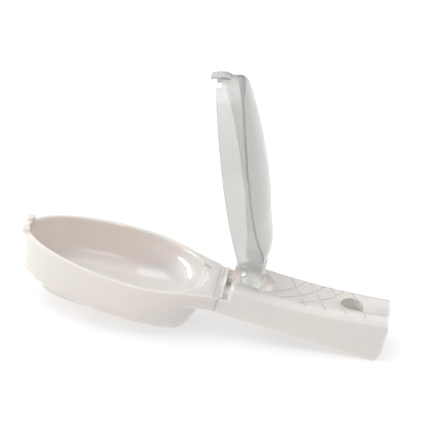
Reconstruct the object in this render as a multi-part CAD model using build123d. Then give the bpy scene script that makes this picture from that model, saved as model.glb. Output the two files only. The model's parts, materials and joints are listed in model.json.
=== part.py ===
from build123d import *
import os
from math import radians, sqrt, tan

# Lidded counting scoop: an oval basin on a hollow handle, with a clear domed lid that turns on a pin at the neck.
#
# Everything is drawn in the scoop's own frame, in millimetres: the lid's hinge axis is the Y axis, the rim of the
# basin lies in the plane z = 0, and +X points towards the end of the handle. The finished pieces are then tilted
# into the attitude in which the scoop rests with its lid open, on the heel of its foot and the end of its handle,
# and moved so that the origin is the bottom centre of the whole object.

# ---- attitude at rest, degrees ----
REST_TILT = 8.94        # front of the basin raised
LID_OPENING = 67.05     # lid turned up from closed

ROUND = 0.5523          # Bezier fullness of a quarter ellipse
CLEAR = 10.0            # reach of a cut past the surface that it opens
FAR = 30.0              # beyond any side of the scoop

# ---- basin ----
TIP_X = -120.0          # front of the rim
WIDE_X = -61.0          # station of the greatest width
HEEL_X = -16.6          # rear of the basin's wall at rim height
HALF_WIDTH = 31.9
TIP_FULLNESS = 0.52     # the front is a little more pointed than an ellipse
HEEL_FULLNESS = 0.78    # the heel is blunter at the underside than at the rim
WALL = 1.7
SIDE_DRAFT = 11.0       # degrees
HEEL_DRAFT = 20.0
BODY_DEPTH = 24.2       # rim to the underside of the floor
CORNER_R = 5.5          # between the wall and the underside
FLOOR_R = 8.0           # between the wall and the floor, inside
RAMP_START_X = -54.0    # where the rear ramp leaves the floor
RAMP_TOP_X = -21.0
FRAME_HALF = 14.2       # half-width of the framed top of the ramp
FRAME_LENGTH = 10.0
FRAME_DEPTH = 1.3
FRAME_R = 2.0

# ---- foot ----
FOOT_DEPTH = 27.0       # rim to the underside of the foot
FOOT_TIP_X = -105.2
FOOT_HEEL_X = -26.8
FOOT_HALF = 18.8
FOOT_FULLNESS = 0.93
FOOT_FLARE = 0.6        # each side, from the underside of the foot up to the basin
FOOT_WELL_INSET = 8.0   # hollow of the foot, inside the basin
FOOT_WELL_REAR = 18.0
FOOT_WELL_TAPER = 0.8

# ---- catch at the front of the rim ----
TAB_Y = 6.2             # middle of each tab
TAB_WIDTH = 4.0
TAB_LENGTH = 3.6
TAB_TOP_Z = 1.8
TAB_LOW_Z = -1.6
TAB_FRONT_X = -120.4
TAB_R = 0.8
HOOK_HALF = 3.6
SEAT_X = -119.6         # face behind the hook
SEAT_LOW_Z = -4.5
SEAT_TOP_Z = 1.5

# ---- neck and hinge ----
SKIRT_Z = -8.9          # lower edge of the skirt
SKIRT_INSET = 1.2       # the skirt slopes in towards its lower edge
NECK_BEND_HALF = 26.4   # control point of the neck's curve in plan
DECK_FRONT_X = -20.4
DECK_FRONT_HALF = 19.7
DECK_THICKNESS = 1.8
NECK_HOLLOW_FRONT_X = -18.4
NECK_HOLLOW_HALF = 15.5
BAND_BACK_X = -16.9     # the deck's raised band ends, and low ground begins
BAND_STEP = 0.6
SPLIT_X = -14.0         # face where the basin meets the handle
SPLIT_HALF = 17.6
CHEEK_X = -9.7          # front of the cheeks
LIP_BACK_X = -12.3
LIP_TOP_Z = 0.9
LIP_HALF = 16.6
GAP_FLOOR_Z = -1.1
POCKET_HALF = 9.2
POCKET_FLOOR_Z = -5.2
POCKET_REAR_X = 13.2    # rear of the pocket, on the centre line
POCKET_CORNER_X = 8.9
CHEEK_WALL = 1.9
CHEEK_FRONT_WALL = 1.7
CHEEK_BROW_R = 2.0
POCKET_WALL = 1.8
PIN_R = 1.5
PIN_HALF = 10.9
PIN_CLEARANCE = 0.05
BARREL_R = 4.3

# ---- handle ----
HANDLE_END_X = 74.9
END_HALF = 14.2
END_CREST_Z = 12.9
HANDLE_LOW_Z = -9.1     # lower edge of the sides at the split
HANDLE_DROP = 0.030     # fall of that edge towards the end
HOLE_X = 53.7
HOLE_R = 6.2
HOLE_MID_Z = 7.5        # middle of the hole's collar
COLLAR_R = 7.7
COLLAR_LOW_Z = 5.6
GROOVE_WIDTH = 1.1
GROOVE_DEPTH = 0.5
LATTICE_PITCH = 10.6
LATTICE_ANGLE = 69.0    # of the straight grooves from the handle's axis, degrees
STRAIGHT_GROOVE_X = 24.4
CURVED_GROOVE_X = 7.6
CURVED_PITCH = 10.3
LATTICE_FROM_X = 13.0
LATTICE_TO_X = 63.0
LATTICE_HALF = 13.2

# ---- lid ----
LID_WALL = 1.5
LID_GAP = 0.3           # over the rim when closed
LID_DRAFT = 8.0
CREASE_R = 1.2          # between the side wall and the roof
ROOF_TOP_Z = 18.3
CROWN_R = 80.0          # roof's radius across the lid
HEEL_Z = 15.0           # roof height where the heel starts to slope down
HEEL_SLOPE = 0.43
TAB_HALF = 8.5
NOTCH_Y = 6.4
NOTCH_WIDTH = 5.0
NOTCH_HEIGHT = 2.6
BARREL_RELIEF = 0.1     # the barrel is turned this much smaller than the tab's round end


def egg(tip_x, heel_x, half, z, front_fullness=ROUND, rear_fullness=ROUND):
    """Flat oval in the plane z, from four curves. ROUND makes a quarter ellipse, and more makes a blunter end."""

    def quarter(end_x, side, fullness):
        reach = end_x - WIDE_X
        return Bezier((WIDE_X, side), (WIDE_X + fullness * reach, side), (end_x, fullness * side), (end_x, 0))

    quarters = [
        quarter(end_x, side, fullness)
        for end_x, fullness in ((tip_x, front_fullness), (heel_x, rear_fullness))
        for side in (half, -half)
    ]
    return Pos(0, 0, z) * make_face(quarters)


def drafted_egg(depth_top, depth_bottom, inset):
    """Basin form between two depths below the rim, inset from the outer surface."""

    def section(depth):
        side = depth * tan(radians(SIDE_DRAFT)) + inset
        heel = depth * tan(radians(HEEL_DRAFT)) + inset
        blunt = ROUND + (HEEL_FULLNESS - ROUND) * max(depth, 0) / BODY_DEPTH
        return egg(TIP_X + side, HEEL_X - heel, HALF_WIDTH - side, -depth, TIP_FULLNESS, blunt)

    return loft([section(depth_top), section(depth_bottom)], ruled=True)


def neck_outline(z, inset):
    """Flat outline of the neck, from inside the basin to the split, narrowing to the handle's width."""
    wide, bend, front = (half - inset for half in (HALF_WIDTH, NECK_BEND_HALF, DECK_FRONT_HALF))
    curve = Bezier((WIDE_X, wide), (-49, wide), (-38, bend), (DECK_FRONT_X, front))
    flank = Line(curve @ 1, (SPLIT_X, SPLIT_HALF - inset))
    others = [edge.mirror(Plane.XZ) for edge in (curve, flank)]
    split = Line(flank @ 1, others[1] @ 1)
    back = Line(curve @ 0, others[0] @ 0)
    return Pos(0, 0, z) * make_face([curve, flank, split, *others, back])


def block(x, y, z):
    """Box from its extents along each axis, each given as a pair."""
    sizes = [pair[1] - pair[0] for pair in (x, y, z)]
    middles = [(pair[0] + pair[1]) / 2 for pair in (x, y, z)]
    return Pos(*middles) * Box(*sizes)


def both_sides(half):
    return (-half, half)


def xz(edges, half):
    """Prism across the scoop from an outline in side view."""
    return extrude(Plane.XZ * make_face(edges), half, both=True)


def make_cavity():
    """Inside of the basin: drafted walls, rounded floor corner and a concave ramp up to the neck."""
    floor = BODY_DEPTH - WALL
    ramp_r = ((RAMP_TOP_X - RAMP_START_X) ** 2 + floor ** 2) / (2 * floor)
    sections = []
    depths = [0.0, 4.0, 8.0, 12.5, 16.5, 19.4, 21.4, 22.2, floor]
    for depth in depths:
        up = floor - depth
        rounding = FLOOR_R - sqrt(FLOOR_R ** 2 - max(FLOOR_R - up, 0.0) ** 2)
        side = depth * tan(radians(SIDE_DRAFT)) + WALL + rounding
        heel_x = RAMP_START_X + sqrt(ramp_r ** 2 - (ramp_r - up) ** 2)
        sections.append(egg(TIP_X + side, heel_x, HALF_WIDTH - side, -depth, TIP_FULLNESS))
    bowl = loft(sections)
    mouth = extrude(egg(TIP_X + WALL, RAMP_TOP_X, HALF_WIDTH - WALL, 0, TIP_FULLNESS), CLEAR)
    frame = block((RAMP_TOP_X - FRAME_LENGTH, RAMP_TOP_X), both_sides(FRAME_HALF), (-FRAME_DEPTH, CLEAR))
    frame = fillet(frame.edges().filter_by(Axis.Z), FRAME_R)
    well_half = FOOT_HALF - FOOT_WELL_INSET
    well_tip_x = FOOT_TIP_X + FOOT_WELL_INSET
    well_heel_x = FOOT_HEEL_X - FOOT_WELL_REAR
    taper = FOOT_WELL_TAPER
    well = loft([egg(well_tip_x, well_heel_x, well_half, -floor + 0.2, FOOT_FULLNESS),
                 egg(well_tip_x + taper, well_heel_x - 2 * taper, well_half - taper, -FOOT_DEPTH + WALL,
                     FOOT_FULLNESS)],
                ruled=True)
    return bowl + mouth + frame + well


def make_basin():
    body = drafted_egg(0.0, BODY_DEPTH, 0.0)
    body = fillet(body.faces().sort_by(Axis.Z)[0].edges(), CORNER_R)
    neck = loft([neck_outline(SKIRT_Z, SKIRT_INSET), neck_outline(0, 0)], ruled=True)
    flare = FOOT_FLARE
    foot = loft([egg(FOOT_TIP_X, FOOT_HEEL_X + flare, FOOT_HALF, CORNER_R / 2 - BODY_DEPTH, FOOT_FULLNESS,
                     HEEL_FULLNESS),
                 egg(FOOT_TIP_X + flare, FOOT_HEEL_X, FOOT_HALF - flare, -FOOT_DEPTH, FOOT_FULLNESS,
                     HEEL_FULLNESS)],
                ruled=True)
    tabs = Part()
    for side in (-1, 1):
        tab = Pos(0, side * TAB_Y, 0) * block((TAB_FRONT_X, TAB_FRONT_X + TAB_LENGTH), both_sides(TAB_WIDTH / 2),
                                              (TAB_LOW_Z, TAB_TOP_Z))
        tabs += fillet(tab.edges().filter_by(Axis.Y), TAB_R)
    # seat of the lid's hook, outside the front wall between the tabs
    seat = block((SEAT_X - CLEAR, SEAT_X), both_sides(HOOK_HALF + 0.5), (SEAT_LOW_Z, SEAT_TOP_Z))
    # low ground behind the band, and the space under the deck, open below
    low = block((BAND_BACK_X, SPLIT_X + 1), both_sides(FAR), (-BAND_STEP, CLEAR))
    hollow = block((NECK_HOLLOW_FRONT_X, SPLIT_X + 1), both_sides(NECK_HOLLOW_HALF),
                   (SKIRT_Z - 1, -BAND_STEP - DECK_THICKNESS))
    hollow -= drafted_egg(0.0, BODY_DEPTH, -0.2)
    return body + neck + foot + tabs - seat - low - hollow - make_cavity()


def handle_section(x, half, bottom, crest, centre, corner):
    """Cross-section of the handle at one station: upright sides, rounded crests and a valley between them."""
    left = Line((-half, bottom), (-half, crest - corner))
    left_corner = RadiusArc(left @ 1, (-half + corner, crest), corner)
    valley = Spline(left_corner @ 1, (0, centre), (half - corner, crest), tangents=[(1, 0), (1, 0), (1, 0)])
    right_corner = RadiusArc(valley @ 1, (half, crest - corner), corner)
    right = Line(right_corner @ 1, (half, bottom))
    base = Line(right @ 1, left @ 0)
    plane = Plane(origin=(x, 0, 0), x_dir=(0, 1, 0), z_dir=(1, 0, 0))
    return plane * make_face([left, left_corner, valley, right_corner, right, base])


def handle_form(inset, end_x):
    """Lofted form of the handle, inset from its outer surface on the sides and the top."""
    stations = [
        # x, half-width, crest height, height between the crests, corner radius
        (SPLIT_X, SPLIT_HALF, 7.5, 7.4, 4.4),
        (10.0, 17.0, 7.1, 7.0, 4.4),
        (30.0, 16.2, 7.6, 7.5, 4.6),
        (48.0, 15.3, 9.1, 8.3, 4.9),
        (62.0, 14.6, 10.9, 7.6, 5.2),
        (end_x, END_HALF - 0.1, END_CREST_Z, 6.7, 5.4),
    ]
    extra = CLEAR / 2 if inset else 0.0
    sections = [
        handle_section(x, half - inset, HANDLE_LOW_Z - HANDLE_DROP * (x - SPLIT_X) - extra, crest - inset,
                       centre - inset, corner - inset)
        for x, half, crest, centre, corner in stations
    ]
    return loft(sections)


def end_shape(inset):
    """What the handle's end keeps: rounded in side view, and two lobes in plan."""
    x = HANDLE_END_X - inset
    low_z = HANDLE_LOW_Z - HANDLE_DROP * (x - SPLIT_X)
    top_z = END_CREST_Z + 1.6 - inset
    front_x = SPLIT_X - CLEAR
    top = Spline((x - 8, top_z), (x - 1.3, 9.0), (x, 0.0), tangents=[(1, 0.05), (0, -1)])
    if inset:
        low = Line((x, 0.0), (x, low_z - CLEAR))
    else:
        low = Spline((x, 0.0), (x - 0.8, -7.2), (x - 4.4, low_z), tangents=[(0, -1), (-1, -0.15)])
    back = Polyline(low @ 1, (front_x, low_z - CLEAR), (front_x, top_z), top @ 0)
    side_view = xz([top, low, back], FAR)
    half = END_HALF - inset
    notch = Bezier((x - 2.6, 0), (x - 2.4, 2.2), (x - 0.5, 3.8), (x - 0.1, 7.5))
    lobe = Bezier(notch @ 1, (x + 0.15, 9.6), (x - 0.2, half - 0.4), (x - 2.8, half + 0.8))
    flank = Line(lobe @ 1, (x - 12, FAR))
    others = [curve.mirror(Plane.XZ) for curve in (notch, lobe, flank)]
    rest = Polyline(flank @ 1, (front_x, FAR), (front_x, -FAR), others[-1] @ 1)
    plan = extrude(make_face([notch, lobe, flank, *others, rest]), FAR, both=True)
    return side_view & plan


def lattice():
    """Thin upright strips over the top of the handle: the lines of its diamond pattern."""
    strips = Part()
    for i in range(4):
        strip = Rot(0, 0, 90 - LATTICE_ANGLE) * Box(GROOVE_WIDTH, FAR, FAR)
        strips += Pos(STRAIGHT_GROOVE_X + i * LATTICE_PITCH, 1.0, CLEAR) * strip
    for i in range(3):
        x = CURVED_GROOVE_X + i * CURVED_PITCH
        path = Bezier((x - 1.5, -11.3), (x + 9.0, -5.0), (x + 17.5, 3.4), (x + 21.0, 14.2))
        strips += extrude(trace(path, GROOVE_WIDTH), FAR)
    return strips & block((LATTICE_FROM_X, LATTICE_TO_X), both_sides(LATTICE_HALF), (0, FAR))


def make_handle():
    outer = handle_form(0, HANDLE_END_X + 2) & end_shape(0)
    inner = handle_form(WALL, HANDLE_END_X + 2) & end_shape(WALL)
    inner &= block((CHEEK_X + CHEEK_FRONT_WALL, HANDLE_END_X), both_sides(FAR), both_sides(FAR))
    pocket_block = block((SPLIT_X, POCKET_REAR_X + POCKET_WALL), both_sides(POCKET_HALF + CHEEK_WALL),
                         (POCKET_FLOOR_Z - POCKET_WALL, FAR))
    body = outer - (inner - pocket_block)

    # low ground in front of the cheeks, the lip across the neck, and the gap behind the lip
    body -= block((SPLIT_X - 1, CHEEK_X), both_sides(FAR), (-BAND_STEP, FAR))
    brow = body.edges().filter_by(lambda edge: abs(edge.center().X - CHEEK_X) < 0.01 and edge.center().Z > 6)
    body = fillet(brow, CHEEK_BROW_R)
    lip = block((SPLIT_X, LIP_BACK_X), both_sides(LIP_HALF), (-BAND_STEP - 0.4, LIP_TOP_Z))
    body += fillet(lip.edges().filter_by(Axis.X).group_by(Axis.Z)[-1], LIP_TOP_Z)
    body -= block((LIP_BACK_X, CHEEK_X), both_sides(LIP_HALF - 0.5), (GAP_FLOOR_Z, FAR))

    # hinge pocket: open at the front and the top, with a sloping rear that is bowed in plan
    rear_x = POCKET_REAR_X + 1.0
    side_view = Polyline((LIP_BACK_X, POCKET_FLOOR_Z), (3.6, POCKET_FLOOR_Z), (6.0, -3.0), (POCKET_CORNER_X, 2.0),
                         (rear_x, 8.6), (rear_x, FAR), (LIP_BACK_X, FAR), (LIP_BACK_X, POCKET_FLOOR_Z))
    rear = ThreePointArc((POCKET_CORNER_X, -POCKET_HALF), (POCKET_REAR_X, 0), (POCKET_CORNER_X, POCKET_HALF))
    sides = Polyline(rear @ 1, (LIP_BACK_X, POCKET_HALF), (LIP_BACK_X, -POCKET_HALF), rear @ 0)
    body -= xz([side_view], FAR) & extrude(make_face([rear, sides]), FAR, both=True)
    body -= make_pin()

    collar = Pos(HOLE_X, 0, COLLAR_LOW_Z) * Cylinder(COLLAR_R, FAR, align=(Align.CENTER, Align.CENTER, Align.MIN))
    body += collar & handle_form(0, HANDLE_END_X + 2)
    body -= Pos(HOLE_X, 0, 0) * Cylinder(HOLE_R, 2 * FAR)
    lowered = Pos(0, 0, -GROOVE_DEPTH) * handle_form(0, HANDLE_END_X + 2)
    body -= lattice() - lowered
    return body


def ahead(curve, length):
    """Point straight on from a curve's end, to start the next curve without a kink."""
    return curve @ 1 + (curve % 1) * length


def lid_outline(inset, z):
    """Plan of the lid: the basin's rim in front, narrowing to the hinge tab behind."""
    side = HALF_WIDTH - inset
    tip_x = TIP_X + inset
    reach = tip_x - WIDE_X
    nose = Bezier((WIDE_X, side), (WIDE_X + TIP_FULLNESS * reach, side), (tip_x, TIP_FULLNESS * side), (tip_x, 0))
    flank = Bezier((WIDE_X, side), (-49, side), (-37, 26.8 - inset), (-25.0, 20.9 - inset))
    shoulder = Bezier(flank @ 1, ahead(flank, 6.0), (-21.5 - inset, TAB_HALF - inset),
                      (-16.0 - inset, TAB_HALF - inset))
    flat = Line(shoulder @ 1, (-13.5 - inset, TAB_HALF - inset))
    curves = [nose, flank, shoulder, flat]
    others = [curve.mirror(Plane.XZ) for curve in curves]
    back = Line(flat @ 1, others[-1] @ 1)
    return Pos(0, 0, z) * make_face([*curves, back, *others])


def roof_form(drop):
    """Everything under the lid's roof, which is turned about a low axis so that it is crowned across the lid."""
    nose = Line((TIP_X - 1.5, 0.0), (TIP_X + 0.6, 7.4))
    brow = Bezier(nose @ 1, ahead(nose, 5.1), (-114.2, 14.1), (-105.5, 15.5))
    top = Bezier(brow @ 1, ahead(brow, 11.6), (-66.0, 19.8), (-44.0, 17.0))
    heel = Bezier(top @ 1, ahead(top, 8.1), (-28.0, HEEL_Z + 3.6 * HEEL_SLOPE), (-24.4, HEEL_Z))
    slope = Line(heel @ 1, (-11.0, HEEL_Z - 13.4 * HEEL_SLOPE))
    axis_z = ROOF_TOP_Z - CROWN_R
    ends = Polyline(slope @ 1, (-11.0, axis_z), (TIP_X - 1.5, axis_z), nose @ 0)
    half_view = Plane.XZ * Pos(0, -drop, 0) * make_face([nose, brow, top, heel, slope, ends])
    turned = revolve(half_view, Axis((0, 0, axis_z - drop), (1, 0, 0)), 360)
    return turned & block((TIP_X - CLEAR, 0), both_sides(2 * FAR), (-CLEAR, 2 * FAR))


def lid_form(inset):
    low = -1.0 if inset else 0.0
    top = ROOF_TOP_Z + CLEAR / 2
    walls = loft([lid_outline(inset, low), lid_outline(inset + top * tan(radians(LID_DRAFT)), top)], ruled=True)
    form = walls & roof_form(inset)
    if not inset:
        crease = [edge for edge in form.edges()
                  if edge.center().Z > ROOF_TOP_Z / 2 and edge.length > 5 and abs(edge.center().Y) > 1]
        form = fillet(crease, CREASE_R)
    return Pos(0, 0, LID_GAP) * form


def tab_form(inset):
    """Side view of the hinge tab: down from the lid's heel and round the barrel."""
    x = -19.0
    top_z = HEEL_Z - (x + 24.4) * HEEL_SLOPE + LID_GAP - inset
    top = Spline((x, top_z), (-12.9, 11.0 - inset), (-7.2, 8.6 - inset), (-1.5, 5.7 - inset), (BARREL_R - inset, 0),
                 tangents=[(1, -HEEL_SLOPE), (0, -1)])
    low = Spline(top @ 1, (-2.4, -BARREL_R + inset + 0.6), tangents=[(0, -1), (-1, 0)])
    floor = -1.0 if inset else 0.0
    rest = Polyline(low @ 1, (-9.2, -2.3 + floor), (x, -2.3 + floor), top @ 0)
    return xz([top, low, rest], TAB_HALF - inset)


def make_lid():
    shell = lid_form(0) + tab_form(0)
    shell -= lid_form(LID_WALL) + tab_form(LID_WALL)
    shell += Rot(90, 0, 0) * Cylinder(BARREL_R - BARREL_RELIEF, 2 * TAB_HALF)

    # room over the rim, the deck and the lip across the neck
    shell -= block((TIP_X - CLEAR, LIP_BACK_X), both_sides(2 * FAR), (-FAR, LID_GAP))
    shell -= block((SPLIT_X - 0.6, LIP_BACK_X + 0.6), both_sides(FAR), (-FAR, LIP_TOP_Z + LID_GAP))

    # catch: notches for the basin's tabs, and a hook between them that passes outside the rim
    for side in (-1, 1):
        shell -= Pos(TIP_X, side * NOTCH_Y, 0) * block(both_sides(7.0), both_sides(NOTCH_WIDTH / 2),
                                                            (-1, LID_GAP + NOTCH_HEIGHT))
    hook = Polyline((TIP_X + 1.4, 7.5), (TIP_X - 0.3, 5.0), (TIP_X - 0.8, 2.0), (TIP_X - 0.9, -2.0),
                    (TIP_X - 0.3, -2.9), (TIP_X + 0.2, -1.8), (TIP_X + 0.2, LID_GAP), (TIP_X + 1.2, LID_GAP + 0.4),
                    (TIP_X + 1.4, 7.5))
    shell += xz([hook], HOOK_HALF)
    return shell - Rot(90, 0, 0) * Cylinder(PIN_R + PIN_CLEARANCE, 2 * FAR)


def make_pin():
    return Rot(90, 0, 0) * Cylinder(PIN_R, 2 * PIN_HALF)


def at_rest(pieces):
    """Tilt the scoop into its resting attitude and put the origin under its middle."""
    tilt = Rot(0, REST_TILT, 0)
    tilted = {name: tilt * piece for name, piece in pieces.items()}
    box = Compound(list(tilted.values())).bounding_box()
    shift = Pos(-(box.min.X + box.max.X) / 2, -(box.min.Y + box.max.Y) / 2, -box.min.Z)
    return {name: shift * piece for name, piece in tilted.items()}, shift * tilt


def main():
    lid_turn = Rot(0, LID_OPENING, 0)
    pieces = {
        "scoop_basin": make_basin(),
        "handle": make_handle(),
        "clear_lid": lid_turn * make_lid(),
        "hinge_pin": make_pin(),
    }
    placed, frame = at_rest(pieces)
    os.makedirs("parts", exist_ok=True)
    for name, piece in placed.items():
        export_step(piece, f"parts/{name}.step")
        print(name, "valid", piece.is_valid, "solids", len(piece.solids()), "volume", round(piece.volume, 1))
    for name, point in {
        "hinge": (0, 0, 0),
        "foot": ((FOOT_TIP_X + FOOT_HEEL_X) / 2, 0, -FOOT_DEPTH),
        "hole": (HOLE_X, 0, HOLE_MID_Z),
    }.items():
        print(name, (frame * Pos(*point)).position)


if __name__ == "__main__":
    main()
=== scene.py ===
import json
import math

import bpy
from mathutils import Matrix, Vector

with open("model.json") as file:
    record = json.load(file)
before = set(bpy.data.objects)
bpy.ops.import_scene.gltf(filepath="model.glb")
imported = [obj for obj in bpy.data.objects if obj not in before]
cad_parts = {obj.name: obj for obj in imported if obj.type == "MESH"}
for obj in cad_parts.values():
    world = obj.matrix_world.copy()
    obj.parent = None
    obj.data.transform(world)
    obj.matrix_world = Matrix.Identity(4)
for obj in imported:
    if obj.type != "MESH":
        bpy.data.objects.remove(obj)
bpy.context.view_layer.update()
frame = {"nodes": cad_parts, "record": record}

# ---- camera: where the photographer stood, measured from the lid's hinge ----
AIM_FROM_HINGE = Vector((-0.02020, 0.0, 0.03839))
AZIMUTH = math.radians(3.758)
ELEVATION = math.radians(26.573)
ROLL = math.radians(6.9)
DISTANCE = 1.1494
LENS_MM = 185.62
SENSOR_MM = 36.0

# ---- surroundings ----
SKY_TOP = 1.42            # strength straight overhead
SKY_HORIZON = 0.05        # strength at the horizon
FLOOR_SIZE = 8
FLOOR_GLOW = 0.56
FLOOR_WHITE = (0.42, 0.41, 0.40, 1)

# ---- lamps ----
KEY_POWER = 4.6
STRIP_POWER = 3.0
PATCH_POWER = 0.46
BASIN_REAR = (-0.02, 0.0, 0.02)
BASIN_MIDDLE = (-0.055, 0.02, 0.02)
# name, place, aim, direction of the long side, length, width, power
LAMPS = (
    ("key", (-0.5, -0.1, 1.05), (0, 0, 0.04), (1, 0, 0), 0.9, 0.9, KEY_POWER),
    ("strip", (-0.93, -0.12, 0.36), BASIN_REAR, (-0.05, 1.0, 0.22), 1.05, 0.045, STRIP_POWER),
    ("front left", (-0.66, -0.76, 0.20), BASIN_REAR, (0, 0, 1), 0.28, 0.32, PATCH_POWER),
    ("front right", (0.33, -0.85, 0.44), BASIN_MIDDLE, (0, 0, 1), 0.34, 0.40, PATCH_POWER * 1.6),
)

# ---- glow round the hinge: half-sizes of two ellipsoids in metres, and the strength inside them ----
POCKET_REACH = (0.0165, 0.0125, 0.0100)
GAP_REACH = (0.0140, 0.0178, 0.0064)
GLOW_FADE_START = 0.75    # share of the reach where the glow begins to fade
POCKET_GLOW = 0.2
LID_FOOT_GLOW = 0.3
WARM_GLOW = (1.0, 0.86, 0.82, 1)
PALE_GLOW = (1.0, 1.0, 0.98, 1)

# ---- colours: each plastic and the steel drift between two close tones ----
IVORY = ((0.64, 0.615, 0.592, 1), (0.655, 0.628, 0.605, 1))
SMOKY = ((0.715, 0.725, 0.71, 1), (0.735, 0.742, 0.727, 1))
STEEL = ((0.50, 0.50, 0.52, 1), (0.62, 0.62, 0.63, 1))
IVORY_SCATTER = (0.0056, 0.0042, 0.0036)   # how far light travels inside the white plastic, in metres

# Sockets of the colour mix node, which shares its names among several data types
MIX_FIRST, MIX_SECOND, MIX_RESULT = 6, 7, 2

HINGE = Vector((-0.02020, 0.0, 0.03839))
AZIMUTH = math.radians(3.758)
ELEVATION = math.radians(26.573)
ROLL = math.radians(6.9)
DISTANCE = 1.1494
LENS_MM = 185.62
SENSOR_MM = 36.0

# ---- studio ----
SKY_TOP = 1.42
SKY_HORIZON = 0.05
KEY_POWER = 4.6
STRIP_POWER = 3.0
PATCH_POWER = 0.46
FLOOR_GLOW = 0.56
POCKET_REACH = (0.0165, 0.0125, 0.0100)
GAP_REACH = (0.0140, 0.0178, 0.0064)
POCKET_GLOW = 0.2
LID_FOOT_GLOW = 0.3

HINGE = Vector(frame["record"]["behaviour"]["joints"][0]["pos_m"])


def make_camera():
    """Camera that looks down past the hinge, rolled about its own line of sight."""
    back = Vector((math.sin(AZIMUTH) * math.cos(ELEVATION), -math.cos(AZIMUTH) * math.cos(ELEVATION),
                   math.sin(ELEVATION)))
    right = Vector((math.cos(AZIMUTH), math.sin(AZIMUTH), 0.0))
    up = back.cross(right)
    turned_right = right * math.cos(ROLL) + up * math.sin(ROLL)
    turned_up = up * math.cos(ROLL) - right * math.sin(ROLL)
    camera = bpy.data.objects.new("camera", bpy.data.cameras.new("camera"))
    bpy.context.collection.objects.link(camera)
    axes = Matrix((turned_right, turned_up, back)).transposed()
    camera.matrix_world = Matrix.Translation(HINGE + AIM_FROM_HINGE + back * DISTANCE) @ axes.to_4x4()
    camera.data.lens = LENS_MM
    camera.data.sensor_width = SENSOR_MM
    camera.data.clip_start = 0.05
    bpy.context.scene.camera = camera


class Nodes:
    """Small helper to write a node tree in a few lines."""

    def __init__(self, name):
        self.material = bpy.data.materials.new(name)
        self.material.use_nodes = True
        self.tree = self.material.node_tree
        self.shader = self.tree.nodes["Principled BSDF"]
        self.coords = self.add("ShaderNodeTexCoord").outputs["Object"]

    def add(self, kind, settings=None, **sockets):
        node = self.tree.nodes.new(kind)
        for key, value in (settings or {}).items():
            setattr(node, key, value)
        for key, value in sockets.items():
            self.put(node.inputs[key.replace("_", " ")], value)
        return node

    def put(self, socket, value):
        if isinstance(value, bpy.types.NodeSocket):
            self.tree.links.new(value, socket)
        else:
            socket.default_value = value

    def set(self, **sockets):
        for key, value in sockets.items():
            self.put(self.shader.inputs[key.replace("_", " ")], value)

    def noise(self, scale, detail=2.0, roughness=0.5):
        return self.add("ShaderNodeTexNoise", Vector=self.coords, Scale=scale, Detail=detail,
                        Roughness=roughness).outputs["Fac"]

    def spread(self, value, low, high, start=0.3, end=0.7):
        return self.add("ShaderNodeMapRange", Value=value, From_Min=start, From_Max=end, To_Min=low,
                        To_Max=high).outputs["Result"]

    def blend(self, value, first, second):
        node = self.add("ShaderNodeMix", {"data_type": "RGBA"})
        self.put(node.inputs["Factor"], value)
        self.put(node.inputs[MIX_FIRST], first)
        self.put(node.inputs[MIX_SECOND], second)
        return node.outputs[MIX_RESULT]

    def bump(self, height, distance, strength=1.0, normal=None):
        node = self.add("ShaderNodeBump", Height=height, Distance=distance, Strength=strength)
        if normal is not None:
            self.put(node.inputs["Normal"], normal)
        return node.outputs["Normal"]


def near_hinge(m, reach):
    """1 inside the ellipsoid round the hinge that the reach spans, fading to 0 at its edge."""
    offset = m.add("ShaderNodeVectorMath", {"operation": "SUBTRACT"})
    m.put(offset.inputs[0], m.add("ShaderNodeNewGeometry").outputs["Position"])
    m.put(offset.inputs[1], HINGE)
    scaled = m.add("ShaderNodeVectorMath", {"operation": "DIVIDE"})
    m.put(scaled.inputs[0], offset.outputs["Vector"])
    m.put(scaled.inputs[1], reach)
    length = m.add("ShaderNodeVectorMath", {"operation": "LENGTH"})
    m.put(length.inputs[0], scaled.outputs["Vector"])
    return m.spread(length.outputs["Value"], 1.0, 0.0, GLOW_FADE_START, 1.0)


def pocket_glow(m, strength):
    """Stands in for light carried through thin walls into the hinge pocket and the gap across the neck.

    It is tied to the hinge's place, so it doesn't follow the lid.
    """
    either = m.add("ShaderNodeMath", {"operation": "MAXIMUM"})
    m.put(either.inputs[0], near_hinge(m, POCKET_REACH))
    m.put(either.inputs[1], near_hinge(m, GAP_REACH))
    return m.spread(either.outputs["Value"], 0.0, strength, 0.0, 1.0)


def white_plastic():
    """Glossy moulded plastic, slightly translucent, with the faint waviness of a thin moulding."""
    m = Nodes("white_plastic")
    cloud = m.noise(18.0, 1.0)
    grain = m.noise(1400.0, 3.0)
    m.set(Base_Color=m.blend(m.spread(cloud, 0.0, 1.0), *IVORY),
          Roughness=m.spread(m.noise(60.0, 1.0), 0.22, 0.27),
          IOR=1.5,
          Coat_Weight=1.0,
          Coat_Roughness=0.05,
          Emission_Color=WARM_GLOW,
          Emission_Strength=pocket_glow(m, POCKET_GLOW),
          Subsurface_Weight=0.7,
          Subsurface_Radius=IVORY_SCATTER,
          Subsurface_Scale=1.0,
          Normal=m.bump(grain, distance=0.00002, strength=0.15,
                        normal=m.bump(m.noise(40.0, 1.0), distance=0.0003, strength=0.12)))
    return m.material


def clear_plastic():
    """Milky moulded plastic, faintly smoky and grey-green, with a little ripple from the mould."""
    m = Nodes("clear_plastic")
    ripple = m.noise(45.0, 1.0)
    m.set(Base_Color=m.blend(m.spread(m.noise(30.0), 0.0, 1.0), *SMOKY),
          Roughness=m.spread(m.noise(300.0, 3.0), 0.02, 0.06),
          IOR=1.45,
          Transmission_Weight=0.68,
          Emission_Color=PALE_GLOW,
          Emission_Strength=pocket_glow(m, LID_FOOT_GLOW),
          Normal=m.bump(ripple, distance=0.0002, strength=0.25))
    return m.material


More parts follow.
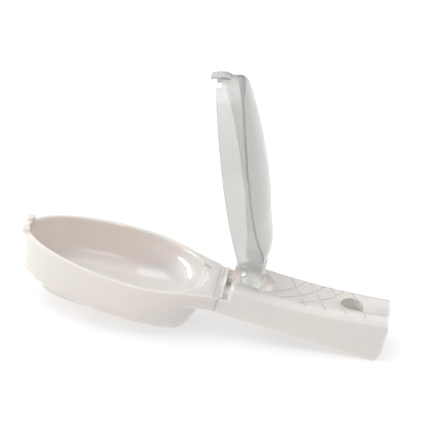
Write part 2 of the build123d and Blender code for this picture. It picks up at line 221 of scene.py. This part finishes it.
def pin_steel():
    """Drawn steel with fine streaks."""
    m = Nodes("pin_steel")
    streaks = m.noise(900.0, 2.0)
    m.set(Base_Color=m.blend(m.spread(streaks, 0.0, 1.0), *STEEL),
          Metallic=1.0, Roughness=m.spread(streaks, 0.25, 0.4))
    return m.material


def floor():
    """Light table: a plain white surface that glows a little, so that shadows stay pale."""
    bpy.ops.mesh.primitive_plane_add(size=FLOOR_SIZE)
    plane = bpy.context.object
    plane.name = "floor"
    m = Nodes("floor_white")
    m.set(Base_Color=FLOOR_WHITE, Roughness=0.7, Specular_IOR_Level=0.2,
          Emission_Color=(1, 1, 1, 1), Emission_Strength=FLOOR_GLOW)
    plane.data.materials.append(m.material)


def area_light(name, place, aim, along, length, width, power):
    """Rectangular lamp that faces the aim, with its long side along the given direction."""
    data = bpy.data.lights.new(name, "AREA")
    data.shape = "RECTANGLE"
    data.size = length
    data.size_y = width
    data.energy = power
    lamp = bpy.data.objects.new(name, data)
    bpy.context.collection.objects.link(lamp)
    back = (Vector(place) - Vector(aim)).normalized()
    side = (Vector(along) - back * back.dot(Vector(along))).normalized()
    axes = Matrix((side, back.cross(side), back)).transposed()
    lamp.matrix_world = Matrix.Translation(place) @ axes.to_4x4()


def lamps():
    """A key overhead, and the low lamps whose reflections show as bright patches inside the basin."""
    for name, place, aim, along, length, width, power in LAMPS:
        area_light(name, place, aim, along, length, width, power)


def sky():
    """White surroundings, brighter overhead than at the sides."""
    world = bpy.data.worlds.new("studio")
    bpy.context.scene.world = world
    world.use_nodes = True
    tree = world.node_tree
    direction = tree.nodes.new("ShaderNodeTexCoord").outputs["Generated"]
    axes = tree.nodes.new("ShaderNodeSeparateXYZ")
    tree.links.new(direction, axes.inputs["Vector"])
    fade = tree.nodes.new("ShaderNodeMapRange")
    fade.inputs["From Min"].default_value = 0.0
    fade.inputs["From Max"].default_value = 1.0
    fade.inputs["To Min"].default_value = SKY_HORIZON
    fade.inputs["To Max"].default_value = SKY_TOP
    tree.links.new(axes.outputs["Z"], fade.inputs["Value"])
    tree.links.new(fade.outputs["Result"], tree.nodes["Background"].inputs["Strength"])
    tree.nodes["Background"].inputs["Color"].default_value = (1, 1, 1, 1)


bpy.context.scene.view_settings.view_transform = "Standard"
make_camera()
sky()
lamps()
floor()
finishes = {"white_plastic": white_plastic(), "clear_plastic": clear_plastic(), "pin_steel": pin_steel()}
for part in frame["record"]["subparts"]:
    piece = frame["nodes"][part["node"]]
    piece.data.materials.clear()
    piece.data.materials.append(finishes[part["material_slot"]])
